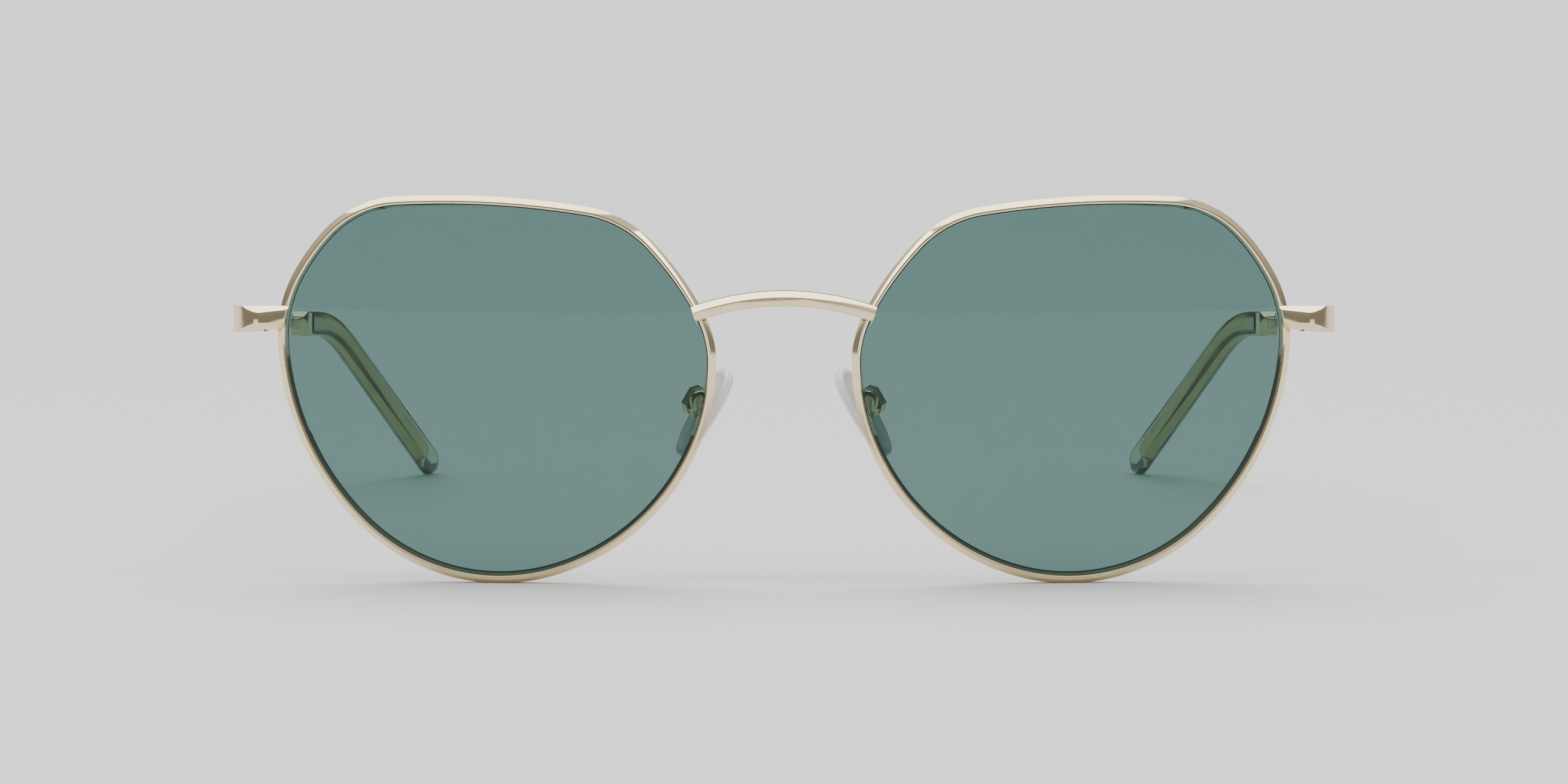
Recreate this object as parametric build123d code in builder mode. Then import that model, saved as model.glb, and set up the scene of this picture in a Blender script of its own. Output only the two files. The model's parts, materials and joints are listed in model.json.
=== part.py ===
"""Sunglasses with thin metal rims, an arched bridge, folding temples and rocking nose pads.

The pieces of the wearer's left side are modelled as worn, in millimetres: +X to the wearer's left,
+Y back along the level temples, +Z up, with the origin midway between the lens centres.  Each is
mirrored for the right side.  Last, the whole is stood on its rims and temple tips.
"""
from build123d import *
from math import acos, cos, degrees, radians, sin, sqrt
import os

# Lenses and rims
LENS_WIDTH = 53.2          # visible lens, across
LENS_THICKNESS = 1.8
LENS_BITE = 0.4            # how far the lens edge stands into the rim's groove
LENS_TONGUE = 0.8          # thickness of the lens edge in the groove
GROOVE_CLEARANCE = 0.05    # between the tongue and each side of the groove
BASE_RADIUS = 131.0        # the sphere that lens and rim follow
RIM_WIDTH = 1.2            # seen from the front
RIM_DEPTH = 1.9            # front to back
RIM_BEVEL = 0.35           # bevel along the front of the rim
NOSE_GAP = 20.0            # between the two visible lenses
WRAP = 5.0                 # each rim turned back at the temple side, degrees
PANTO = 7.0                # rims tipped in towards the cheeks, degrees

# Bridge
BRIDGE_TOP = 11.9          # middle of the bar at its crown, above the lens centres
BRIDGE_END = 9.9           # middle of the bar where it laps the rims
BRIDGE_HEIGHT = 1.9
BRIDGE_DEPTH = 1.7
BRIDGE_LAP = 0.55          # how deep the bar is let onto the rims
BRIDGE_TOP_FACET = 0.75

# Endpieces
HINGE_UP = 9.3             # hinge line above the lens centres
ENDPIECE_HEIGHT = 3.3
ENDPIECE_THICKNESS = 1.4
ENDPIECE_PROUD = 0.8       # front face ahead of the rim
ENDPIECE_REACH = 6.2       # out past the rim
ENDPIECE_DEPTH = 9.0       # front face to hinge axis
CREASE_REACH = 3.5         # from the crease in the front face to the outer side
CORNER_DEPTH = 4.5         # front face to where the outer side runs straight
TOP_FACET = (0.9, 0.95)    # height at the crease and depth of the upper facet
TOP_FACET_SLOPE = 6.0      # the upper facet narrows towards the rim, degrees
LOWER_FACET = (1.1, 1.9)   # height and depth of the lower facet
END_SLANT = 12.0           # slant of the inner end, degrees
END_SETBACK = 0.35         # middle of the inner end, out from the rim's inner edge
END_BEVEL = 0.2

# Rim locks
LOCK_REACH = 2.2
LOCK_DEPTH = 2.2
LOCK_INSET = 0.4           # blocks stop this far inside the endpiece's height
SPLIT_DROP = 0.3           # split below the hinge line
SPLIT_GAP = 0.12
LOCK_SCREW_RADIUS = 0.45
LOCK_HEAD_RADIUS = 0.8
LOCK_HEAD_HEIGHT = 0.5

# Hinges
HINGE_HEIGHT = 3.1
KNUCKLE_GAP = 0.05
BARREL_RADIUS = 1.1
LEAF_THICKNESS = 0.7
LEAF_LENGTH = 4.0
BARREL_CLEARANCE = 0.1     # barrel to the other leaf's plate
BUTT_GAP = 0.15            # endpiece to temple
HINGE_PIN_RADIUS = 0.6
HINGE_PIN_CLEARANCE = 0.03
HINGE_HEAD_RADIUS = 0.85
HINGE_HEAD_HEIGHT = 0.4
SLOT_WIDTH = 0.25
SLOT_DEPTH = 0.2

# Temples
TEMPLE_TOE_IN = 0.5        # degrees
TEMPLE_THICKNESS = 1.3
TEMPLE_HEIGHT = 1.4        # slim part
TEMPLE_ROOT_HEIGHT = 3.2   # at the hinge
TEMPLE_ROOT_LENGTH = 6.0
TEMPLE_TAPER_LENGTH = 22.0
TEMPLE_STRAIGHT = 80.3     # hinge to the first bend
TEMPLE_EDGE = 0.25
SIDE_BEND = (56.0, 0.0, 6.0)     # radius, roll and angle of the bend before the ferrule
HEAD_BEND = (40.0, 0.0, 9.5)     # behind the ferrule, inwards
EAR_BEND = (21.0, -80.0, 32.0)   # down over the ear
FERRULE_LENGTH = 5.5
FLARE_LENGTH = 2.4
FLARE = ((0.0, 0.0), (0.45, 0.12), (0.8, 0.5), (1.0, 1.0))   # shares of its length and growth
FERRULE_HEIGHT = 3.3
FERRULE_THICKNESS = 2.4
NECK_LENGTH = 0.3          # shadow groove between ferrule and tip
NECK_INSET = 0.3
CORE_HEIGHT = 2.2
CORE_THICKNESS = 0.8
CORE_STOP = 4.2            # core ends this far before the end of the tip
TIP_HEIGHT = 3.4
TIP_THICKNESS = 2.6
TIP_END_HEIGHT = 4.2
TIP_END_THICKNESS = 2.2
TIP_EDGE = 0.9
TIP_END_ROUND = 2.1        # round of the end, seen from the side
TIP_STRAIGHT = 34.0

# Nose pads
PAD_CENTRE = (NOSE_GAP / 2 + 0.1, 8.0, -2.65)
PAD_LEAN = 29.6            # long axis from upright, top towards the nose, degrees
PAD_SPLAY = 20.0           # pad turned to open towards the face, degrees
PAD_LENGTH = 12.4
PAD_WIDTH = 7.0
PAD_THICKNESS = 1.3
PAD_EDGE = 0.5
PAD_PIVOT = 1.6            # screw axis from the middle of the pad
PAD_LUG_UP = 0.8           # screw axis above the middle of the pad
INSERT_SIZE = (2.6, 5.2, 0.5)
LUG_THICKNESS = 1.3
LUG_RADIUS = 0.8
LUG_CLEARANCE = 0.08
BOX_WALL = 0.45
BOX_HEIGHT = 3.8
BOX_OPENING = 0.4          # box edge clear of the pad
BOX_BACK = 1.0             # pivot to the inside of the box's back
BOX_BEVEL = 0.8
PAD_SCREW_RADIUS = 0.5
PAD_SCREW_CLEARANCE = 0.03
PAD_HEAD_RADIUS = 0.8
PAD_HEAD_HEIGHT = 0.4

# Pad arms
ARM_RADIUS = 0.45
ARM_ROOT_UP = -0.2         # root on the rim, above the lens centre
ARM_ROOT_LAP = 0.25        # how deep the root is let into the back of the rim
ARM_RUN_OUT = 1.5          # straight run back from the rim
ARM_KNEE = (NOSE_GAP / 2 + 1.5, 2.9, -0.4)
ARM_RUN_IN = 1.6           # straight run into the box
ARM_BEND = 0.9
ARM_FOOT = (-1.15, 0.7)    # foot on the box, from the pivot: along the pad, away from it


def sind(angle):
    return sin(radians(angle))


def cosd(angle):
    return cos(radians(angle))


# Lens outline: a closed chain of tangent arcs, anticlockwise from low on the nose side, each a radius
# and a turn in degrees.  The two long lower arcs have no radius here: theirs close the chain.
OUTLINE_START = -17.0
OUTLINE_ARCS = [
    (23.5, 61.0),    # bottom
    (None, 42.0),    # temple side, below
    (15.5, 33.0),    # temple side, at the endpiece
    (26.0, 14.0),    # slant up to the corner
    (12.5, 43.0),    # upper temple corner
    (105.0, 13.0),   # top
    (13.5, 37.0),    # upper nose corner
    (38.0, 16.0),    # slant down to the bridge
    (12.5, 30.0),    # nose side
    (None, 71.0),    # nose side, below
]


def closed_arcs(arcs, width):
    """The arcs with the open radii solved so that the chain closes, scaled to the lens width."""
    heading = OUTLINE_START
    gap_x, gap_y, open_arcs = 0.0, 0.0, []
    for radius, turn in arcs:
        step_x = sind(heading + turn) - sind(heading)
        step_y = cosd(heading) - cosd(heading + turn)
        if radius is None:
            open_arcs.append((step_x, step_y))
        else:
            gap_x, gap_y = gap_x + radius * step_x, gap_y + radius * step_y
        heading += turn
    (ax, ay), (bx, by) = open_arcs
    spread = ax * by - ay * bx
    solved = iter(((gap_y * bx - gap_x * by) / spread, (gap_x * ay - gap_y * ax) / spread))
    closed = [(next(solved) if radius is None else radius, turn) for radius, turn in arcs]
    scale = width / (chain_point(closed, 90)[0] - chain_point(closed, 270)[0])
    return [(radius * scale, turn) for radius, turn in closed]


def chain_point(arcs, heading):
    """The point of the chain, from its start, where it runs at this heading."""
    x, y, start = 0.0, 0.0, OUTLINE_START
    for radius, turn in arcs:
        stop = min(start + turn, max(start, heading))
        x += radius * (sind(stop) - sind(start))
        y += radius * (cosd(start) - cosd(stop))
        start += turn
    return x, y


LENS_ARCS = closed_arcs(OUTLINE_ARCS, LENS_WIDTH)
LENS_BOX_X = (chain_point(LENS_ARCS, 90)[0] + chain_point(LENS_ARCS, 270)[0]) / 2
LENS_BOX_Y = (chain_point(LENS_ARCS, 180)[1] + chain_point(LENS_ARCS, 0)[1]) / 2


def lens_point(heading, grow=0.0):
    """A point of the visible lens outline, grown outwards, from the middle of the lens."""
    x, y = chain_point(LENS_ARCS, heading)
    return x - LENS_BOX_X + grow * sind(heading), y - LENS_BOX_Y - grow * cosd(heading)


def lens_edge(height, side, grow=0.0):
    """How far out the outline is at a height: side 1 is the temple side, -1 the nose side."""
    low, high = (0.0, 180.0) if side > 0 else (OUTLINE_START + 360.0, 180.0)
    for _ in range(40):
        middle = (low + high) / 2
        low, high = (middle, high) if lens_point(middle, grow)[1] < height else (low, middle)
    return lens_point(middle, grow)[0]


def lens_outline(grow):
    """The visible lens outline, grown outwards, as a closed line."""
    with BuildLine() as outline:
        heading = OUTLINE_START
        for _, turn in LENS_ARCS:
            stops = (heading, heading + turn / 2, heading + turn)
            ThreePointArc(*[lens_point(stop, grow) for stop in stops])
            heading += turn
    return outline.line


# Planes of the front.  On the rim's plane, x is out to the temple, y up and z forward.
FRONT = Plane(origin=(0, 0, 0), x_dir=(1, 0, 0), z_dir=(0, -cosd(PANTO), -sind(PANTO)))
LENS_OFFSET = (LENS_WIDTH * cosd(WRAP) + NOSE_GAP) / 2
RIM_PLANE = Plane(FRONT.location * Location((LENS_OFFSET, 0, 0), (0, WRAP, 0)))
CURVE_PLANE = Plane(
    origin=RIM_PLANE.origin - RIM_PLANE.z_dir * BASE_RADIUS,
    x_dir=-RIM_PLANE.z_dir,
    z_dir=RIM_PLANE.y_dir,
)
CURVE_SPAN = 12.0          # half the depth that holds the curved rim


def on_curve(x, y, lift=0.0):
    """A point of the curved middle surface of the rim, lifted forwards."""
    drop = BASE_RADIUS - sqrt(BASE_RADIUS**2 - x**2 - y**2)
    return RIM_PLANE.from_local_coords((x, y, lift - drop))


def curved_shell(thickness):
    """A spherical shell that follows the lens, centred on the rim's middle surface."""
    with BuildPart(CURVE_PLANE) as shell:
        Sphere(BASE_RADIUS + thickness / 2)
        Sphere(BASE_RADIUS - thickness / 2, mode=Mode.SUBTRACT)
    return shell.part


def lens_disc(grow, thickness):
    """The curved lens shape, grown outwards, of one thickness."""
    with BuildPart() as disc:
        with BuildSketch(RIM_PLANE):
            add(lens_outline(grow))
            make_face()
        extrude(amount=CURVE_SPAN, both=True)
        add(curved_shell(thickness), mode=Mode.INTERSECT)
    return disc.part


def on_front_face(edge):
    """Whether an edge lies on the rim's front surface."""
    reach = (edge.position_at(0.5) - CURVE_PLANE.origin).length
    return abs(reach - BASE_RADIUS - RIM_DEPTH / 2) < 0.001


STAND = (Align.CENTER, Align.CENTER, Align.MIN)
ON_SIDE = (Align.MAX, Align.CENTER, Align.CENTER)
ACROSS = (0, 90, 0)        # turns a cylinder to lie along x
left = {}                  # finished pieces of the wearer's left side, by name

# Rim, first as a bar with no groove, which the bridge, endpiece and pad arm are fitted to
with BuildPart() as rim_bar:
    with BuildSketch(RIM_PLANE):
        add(lens_outline(RIM_WIDTH))
        make_face()
        add(lens_outline(0))
        make_face(mode=Mode.SUBTRACT)
    extrude(amount=CURVE_SPAN, both=True)
    add(curved_shell(RIM_DEPTH), mode=Mode.INTERSECT)
    chamfer(rim_bar.edges().filter_by(on_front_face), RIM_BEVEL)


HINGE_Z = FRONT.from_local_coords((0, HINGE_UP, 0)).Z
RIM_INSIDE = on_curve(lens_edge(HINGE_UP, 1), HINGE_UP)     # rim's inner edge at the hinge line
RIM_OUTSIDE = on_curve(lens_edge(HINGE_UP, 1, RIM_WIDTH), HINGE_UP)
SPLIT_Z = HINGE_Z - SPLIT_DROP

with BuildPart() as rim:
    add(rim_bar.part)
    add(lens_disc(LENS_BITE, LENS_TONGUE + 2 * GROOVE_CLEARANCE), mode=Mode.SUBTRACT)
    with Locations((RIM_OUTSIDE.X, RIM_OUTSIDE.Y, SPLIT_Z)):
        Box(4 * RIM_WIDTH, 4 * RIM_DEPTH, SPLIT_GAP, mode=Mode.SUBTRACT)
left["rim"] = rim.part

with BuildPart() as lens:
    add(lens_disc(-GROOVE_CLEARANCE, LENS_THICKNESS))
    add(lens_disc(LENS_BITE, LENS_TONGUE))
left["lens"] = lens.part

# Bridge: a faceted bar on an arc, let down onto the front of both rims
BRIDGE_HALF = on_curve(lens_edge(BRIDGE_END, -1), BRIDGE_END).X
BRIDGE_RISE = BRIDGE_TOP - BRIDGE_END
BRIDGE_RADIUS = (BRIDGE_HALF**2 + BRIDGE_RISE**2) / (2 * BRIDGE_RISE)
BRIDGE_ANGLE = degrees(acos(1 - BRIDGE_RISE / BRIDGE_RADIUS))
BRIDGE_LAP_POINT = on_curve(lens_edge(BRIDGE_END, -1, RIM_WIDTH / 2), BRIDGE_END, RIM_DEPTH / 2)
BRIDGE_BACK = FRONT.to_local_coords(BRIDGE_LAP_POINT).Z - BRIDGE_LAP

with BuildPart() as bridge:
    with BuildSketch(Plane(FRONT.origin, x_dir=FRONT.z_dir, z_dir=-FRONT.x_dir)):
        with Locations((BRIDGE_BACK + BRIDGE_DEPTH / 2, BRIDGE_TOP)):
            bar = Rectangle(BRIDGE_DEPTH, BRIDGE_HEIGHT)
        front_corners = bar.vertices().group_by(Axis.X)[-1].sort_by(Axis.Y)
        chamfer(front_corners[-1], BRIDGE_TOP_FACET)
        chamfer(front_corners[0], BRIDGE_TOP_FACET / 3)
    arc_centre = FRONT.from_local_coords((0, BRIDGE_TOP - BRIDGE_RADIUS, 0))
    revolve(axis=Axis(arc_centre, -FRONT.z_dir), revolution_arc=BRIDGE_ANGLE)
    mirror(about=Plane.YZ)
    add(rim_bar.part, mode=Mode.SUBTRACT)
    mirror(rim_bar.part, about=Plane.YZ, mode=Mode.SUBTRACT)
    opening = lens_disc(0, RIM_DEPTH)
    add(opening, mode=Mode.SUBTRACT)
    mirror(opening, about=Plane.YZ, mode=Mode.SUBTRACT)

# Endpiece: a flat strip lapped over the rim and bent back at the corner, with two long facets
FACE_Y = RIM_INSIDE.Y - RIM_DEPTH / 2 - ENDPIECE_PROUD
OUTER_X = RIM_OUTSIDE.X + ENDPIECE_REACH
CREASE_X = OUTER_X - CREASE_REACH
HINGE_Y = FACE_Y + ENDPIECE_DEPTH
BACK_Y = FACE_Y + ENDPIECE_THICKNESS
SIDE_X = OUTER_X - ENDPIECE_THICKNESS
BUTT_Y = HINGE_Y - BUTT_GAP / 2
TOP_Z = HINGE_Z + ENDPIECE_HEIGHT / 2
BOTTOM_Z = HINGE_Z - ENDPIECE_HEIGHT / 2
INNER_X = RIM_INSIDE.X

upper_facet_plane = Plane(
    (CREASE_X, FACE_Y, TOP_Z),
    x_dir=(0, 1, 0),
    z_dir=(cosd(TOP_FACET_SLOPE), 0, -sind(TOP_FACET_SLOPE)),
)
lower_facet_plane = Plane((CREASE_X, FACE_Y, BOTTOM_Z), x_dir=(0, 1, 0), z_dir=(-1, 0, 0))


def facet_wedge(facet):
    """The triangle that cuts a facet: x runs back from the front face, y out past the edge."""
    height, depth = facet
    slope = height / depth
    with BuildSketch() as wedge:
        Polygon((-1, -height - slope), (2 * depth, height), (-1, height), align=None)   # 1 in front
    return wedge.sketch


with BuildPart() as endpiece:
    with BuildSketch(Plane.XY.offset(BOTTOM_Z)):
        with BuildLine():
            flat = Line((INNER_X - RIM_WIDTH, FACE_Y), (CREASE_X, FACE_Y))
            corner = (OUTER_X, FACE_Y + CORNER_DEPTH)
            Line(corner, (OUTER_X, BUTT_Y))
            TangentArc(corner, (CREASE_X, FACE_Y), tangent=(0, -1))
            Polyline((OUTER_X, BUTT_Y), (SIDE_X, BUTT_Y), (SIDE_X, BACK_Y + CREASE_REACH))
            Line((CREASE_X, BACK_Y), (INNER_X - RIM_WIDTH, BACK_Y))
            TangentArc((SIDE_X, BACK_Y + CREASE_REACH), (CREASE_X, BACK_Y), tangent=(0, -1))
            Line((INNER_X - RIM_WIDTH, BACK_Y), flat @ 0)
        make_face()
    extrude(amount=ENDPIECE_HEIGHT)
    with BuildSketch(upper_facet_plane):
        add(facet_wedge(TOP_FACET))
    extrude(amount=CURVE_SPAN, both=True, mode=Mode.SUBTRACT)
    with BuildSketch(lower_facet_plane):
        add(facet_wedge(LOWER_FACET))
    extrude(amount=CURVE_SPAN, both=True, mode=Mode.SUBTRACT)
    with Locations(Location((INNER_X + END_SETBACK, FACE_Y, HINGE_Z), (0, -END_SLANT, 0))):
        Box(CURVE_SPAN, CURVE_SPAN, CURVE_SPAN, align=ON_SIDE, mode=Mode.SUBTRACT)
    slanted_end = endpiece.faces().sort_by(Axis.X)[0]
    chamfer(slanted_end.edges().sort_by(Axis.Y)[0], END_BEVEL)
    add(rim_bar.part, mode=Mode.SUBTRACT)
    add(opening, mode=Mode.SUBTRACT)
left["endpiece"] = endpiece.part

# Rim lock: two blocks on the rim's split ends, behind the endpiece, drawn together from below
LOCK_X = RIM_OUTSIDE.X + LOCK_REACH / 2
LOCK_Y = BACK_Y + LOCK_DEPTH / 2
LOCK_TOP = TOP_Z - LOCK_INSET
LOCK_BOTTOM = BOTTOM_Z + LOCK_INSET
LOCK_SPANS = {
    "upper": (SPLIT_Z + SPLIT_GAP / 2, LOCK_TOP),
    "lower": (LOCK_BOTTOM, SPLIT_Z - SPLIT_GAP / 2),
}

with BuildPart() as rim_prism:
    with BuildSketch(RIM_PLANE):
        add(lens_outline(RIM_WIDTH))
        make_face()
    extrude(amount=CURVE_SPAN, both=True)

for level, (low, high) in LOCK_SPANS.items():
    with BuildPart() as block:
        with Locations((LOCK_X + LOCK_REACH / 2, LOCK_Y, low)):
            Box(2 * LOCK_REACH, LOCK_DEPTH, high - low, align=(Align.MAX, Align.CENTER, Align.MIN))
        add(rim_prism.part, mode=Mode.SUBTRACT)
        with Locations((LOCK_X, LOCK_Y, low)):
            Cylinder(LOCK_SCREW_RADIUS, 2 * (high - low), mode=Mode.SUBTRACT)
            if level == "lower":
                Cylinder(LOCK_HEAD_RADIUS, 2 * LOCK_HEAD_HEIGHT, mode=Mode.SUBTRACT)
    left[f"rim_lock_{level}"] = block.part

with BuildPart(Plane((LOCK_X, LOCK_Y, LOCK_BOTTOM))) as lock_screw:
    Cylinder(LOCK_SCREW_RADIUS, LOCK_TOP - LOCK_BOTTOM - LOCK_INSET, align=STAND)
    Cylinder(LOCK_HEAD_RADIUS, LOCK_HEAD_HEIGHT, align=STAND)
    Box(3 * LOCK_HEAD_RADIUS, SLOT_WIDTH, 2 * SLOT_DEPTH, mode=Mode.SUBTRACT)
left["rim_lock_screw"] = lock_screw.part

# Hinge: two knuckles on the endpiece, one on the temple, on an upright screw
HINGE_X = SIDE_X - LEAF_THICKNESS - BARREL_CLEARANCE - BARREL_RADIUS
PLATE_IN = BARREL_RADIUS + BARREL_CLEARANCE                 # pin axis to the leaf plates
KNUCKLE = (HINGE_HEIGHT - 2 * KNUCKLE_GAP) / 3
KNUCKLE_STEP = KNUCKLE + KNUCKLE_GAP
PIN_BORE = HINGE_PIN_RADIUS + HINGE_PIN_CLEARANCE
HINGE_PLANE = Plane((HINGE_X, HINGE_Y, HINGE_Z))

with BuildPart(HINGE_PLANE) as front_leaf:
    with Locations((PLATE_IN, -BUTT_GAP / 2, 0)):
        Box(LEAF_THICKNESS, LEAF_LENGTH, HINGE_HEIGHT, align=(Align.MIN, Align.MAX, Align.CENTER))
    with Locations((0, 0, KNUCKLE_STEP), (0, 0, -KNUCKLE_STEP)):
        Cylinder(BARREL_RADIUS, KNUCKLE)
    with Locations((0, -BUTT_GAP / 2, KNUCKLE_STEP), (0, -BUTT_GAP / 2, -KNUCKLE_STEP)):
        Box(PLATE_IN, BARREL_RADIUS - BUTT_GAP / 2, KNUCKLE, align=(Align.MIN, Align.MAX, Align.CENTER))
    Cylinder(HINGE_PIN_RADIUS, 2 * HINGE_HEIGHT, mode=Mode.SUBTRACT)
    with Locations((0, 0, HINGE_HEIGHT / 2)):
        Cylinder(HINGE_HEAD_RADIUS, 2 * HINGE_HEAD_HEIGHT, mode=Mode.SUBTRACT)
left["front_hinge_leaf"] = front_leaf.part

with BuildPart(HINGE_PLANE) as hinge_screw:
    Cylinder(HINGE_PIN_RADIUS, HINGE_HEIGHT)
    with Locations((0, 0, HINGE_HEIGHT / 2)):
        Cylinder(HINGE_HEAD_RADIUS, HINGE_HEAD_HEIGHT, align=(Align.CENTER, Align.CENTER, Align.MAX))
        Box(SLOT_WIDTH, 3 * HINGE_HEAD_RADIUS, 2 * SLOT_DEPTH, mode=Mode.SUBTRACT)
left["hinge_screw"] = hinge_screw.part

# The temple is followed from the hinge to its end on planes: x inwards, y up, z along the temple
TEMPLE_PLANE = Plane(HINGE_PLANE.origin, x_dir=(-cosd(TEMPLE_TOE_IN), -sind(TEMPLE_TOE_IN), 0),
                     z_dir=(-sind(TEMPLE_TOE_IN), cosd(TEMPLE_TOE_IN), 0))

with BuildPart(TEMPLE_PLANE) as temple_leaf:
    with Locations((-PLATE_IN, 0, BUTT_GAP / 2)):
        Box(LEAF_THICKNESS, HINGE_HEIGHT, LEAF_LENGTH, align=(Align.MAX, Align.CENTER, Align.MIN))
        Box(PLATE_IN, KNUCKLE, BARREL_RADIUS - BUTT_GAP / 2, align=(Align.MIN, Align.CENTER, Align.MIN))
    Cylinder(BARREL_RADIUS, KNUCKLE, rotation=(90, 0, 0))
    Cylinder(PIN_BORE, 2 * HINGE_HEIGHT, rotation=(90, 0, 0), mode=Mode.SUBTRACT)
left["temple_hinge_leaf"] = temple_leaf.part


def bend_axis(start, bend):
    """The axis that a bend turns about, from the plane where it starts."""
    radius, roll, _ = bend
    pivot = start.from_local_coords((radius * cosd(roll), radius * sind(roll), 0))
    return Axis(pivot, start.y_dir * cosd(roll) - start.x_dir * sind(roll))


def bend_end(start, bend):
    """The plane at the end of a bend that starts on another."""
    radius, roll, angle = bend
    pivot = Location((radius * cosd(roll), radius * sind(roll), 0))
    turn = Location((0, 0, 0), (-sind(roll), cosd(roll), 0), angle)
    return Plane(start.location * pivot * turn * pivot.inverse())


BAR_OUT = PLATE_IN + LEAF_THICKNESS + TEMPLE_THICKNESS / 2    # pin axis to the temple's middle
BAR_PLANE = Plane(TEMPLE_PLANE.location * Location((-BAR_OUT, 0, 0)))
SIDE_PLANE = BAR_PLANE.offset(TEMPLE_STRAIGHT)
FLARE_PLANE = bend_end(SIDE_PLANE, SIDE_BEND)
NECK_PLANE = FLARE_PLANE.offset(FERRULE_LENGTH)
TIP_PLANE = NECK_PLANE.offset(NECK_LENGTH)
EAR_PLANE = bend_end(TIP_PLANE, HEAD_BEND)
RUN_PLANE = bend_end(EAR_PLANE, EAR_BEND)
END_PLANE = RUN_PLANE.offset(TIP_STRAIGHT)


def bar_section(thickness, height, edge):
    """A rounded rectangle across the temple."""
    with BuildSketch() as section:
        RectangleRounded(thickness, height, edge)
    return section.sketch


with BuildPart() as core:
    core_section = bar_section(CORE_THICKNESS, CORE_HEIGHT, TEMPLE_EDGE)
    with BuildSketch(NECK_PLANE):
        add(core_section)
    extrude(amount=NECK_LENGTH)
    for start, bend in ((TIP_PLANE, HEAD_BEND), (EAR_PLANE, EAR_BEND)):
        with BuildSketch(start):
            add(core_section)
        revolve(axis=bend_axis(start, bend), revolution_arc=bend[2])
    with BuildSketch(RUN_PLANE):
        add(core_section)
    extrude(amount=TIP_STRAIGHT - CORE_STOP)

with BuildPart() as temple:
    slim = TEMPLE_HEIGHT / 2
    root = TEMPLE_ROOT_HEIGHT / 2
    taper_end = TEMPLE_ROOT_LENGTH + TEMPLE_TAPER_LENGTH
    profile_plane = Plane(BAR_PLANE.origin, x_dir=BAR_PLANE.z_dir, z_dir=-BAR_PLANE.x_dir)
    with BuildSketch(profile_plane):
        with BuildLine():
            Polyline((BUTT_GAP / 2, 0), (BUTT_GAP / 2, root), (TEMPLE_ROOT_LENGTH, root))
            Spline((TEMPLE_ROOT_LENGTH, root), (taper_end, slim), tangents=((1, 0), (1, 0)))
            Polyline((taper_end, slim), (TEMPLE_STRAIGHT, slim), (TEMPLE_STRAIGHT, 0))
            mirror(about=Plane.XZ)
        make_face()
    extrude(amount=TEMPLE_THICKNESS / 2, both=True)
    with BuildSketch(SIDE_PLANE):
        add(bar_section(TEMPLE_THICKNESS, TEMPLE_HEIGHT, TEMPLE_EDGE))
    revolve(axis=bend_axis(SIDE_PLANE, SIDE_BEND), revolution_arc=SIDE_BEND[2])
    for reach, growth in FLARE:
        with BuildSketch(FLARE_PLANE.offset(reach * FLARE_LENGTH)):
            thickness = TEMPLE_THICKNESS + growth * (FERRULE_THICKNESS - TEMPLE_THICKNESS)
            height = TEMPLE_HEIGHT + growth * (FERRULE_HEIGHT - TEMPLE_HEIGHT)
            add(bar_section(thickness, height, TEMPLE_EDGE))
    loft()
    with BuildSketch(FLARE_PLANE.offset(FLARE_LENGTH)):
        add(bar_section(FERRULE_THICKNESS, FERRULE_HEIGHT, TEMPLE_EDGE))
    extrude(amount=FERRULE_LENGTH - FLARE_LENGTH)
    with BuildSketch(NECK_PLANE):
        add(bar_section(FERRULE_THICKNESS - 2 * NECK_INSET, FERRULE_HEIGHT - 2 * NECK_INSET, TEMPLE_EDGE))
    extrude(amount=NECK_LENGTH)
    add(core.part)
left["temple"] = temple.part

# Temple tip: clear acetate around the core, bent over the ear and broader towards its round end
with BuildPart(END_PLANE) as tip_space:
    with Locations((0, 0, -TIP_END_ROUND)):
        Box(TIP_STRAIGHT, 4 * TIP_STRAIGHT, 4 * TIP_STRAIGHT, align=(Align.CENTER, Align.CENTER, Align.MAX))
        Cylinder(TIP_END_ROUND, TIP_STRAIGHT, rotation=ACROSS)

with BuildPart() as tip:
    tip_section = bar_section(TIP_THICKNESS, TIP_HEIGHT, TIP_EDGE)
    for start, bend in ((TIP_PLANE, HEAD_BEND), (EAR_PLANE, EAR_BEND)):
        with BuildSketch(start):
            add(tip_section)
        revolve(axis=bend_axis(start, bend), revolution_arc=bend[2])
    with BuildSketch(RUN_PLANE):
        add(tip_section)
    with BuildSketch(END_PLANE):
        RectangleRounded(TIP_END_THICKNESS, TIP_END_HEIGHT, TIP_EDGE)
    loft()
    add(tip_space.part, mode=Mode.INTERSECT)
    add(core.part, mode=Mode.SUBTRACT)
left["temple_tip"] = tip.part

# Nose pad: on its plane, x is towards the face, y up its long axis and z away from the nose
pad_out = Vector(cosd(PAD_LEAN), 0, sind(PAD_LEAN))
PAD_PLANE = Plane(
    PAD_CENTRE,
    x_dir=pad_out * sind(PAD_SPLAY) + Vector(0, cosd(PAD_SPLAY), 0),
    z_dir=pad_out * cosd(PAD_SPLAY) - Vector(0, sind(PAD_SPLAY), 0),
)
PIVOT_PLANE = Plane(PAD_PLANE.location * Location((0, PAD_LUG_UP, PAD_PIVOT)))
PAD_BORE = PAD_SCREW_RADIUS + PAD_SCREW_CLEARANCE

with BuildPart(PIVOT_PLANE) as insert:
    with Locations((0, -PAD_LUG_UP, -PAD_PIVOT)):
        Box(*INSERT_SIZE)
    Box(LUG_THICKNESS, 2 * LUG_RADIUS, PAD_PIVOT, align=(Align.CENTER, Align.CENTER, Align.MAX))
    Cylinder(LUG_RADIUS, LUG_THICKNESS, rotation=ACROSS)
    Cylinder(PAD_BORE, 2 * LUG_THICKNESS, rotation=ACROSS, mode=Mode.SUBTRACT)
left["pad_insert"] = insert.part

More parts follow.
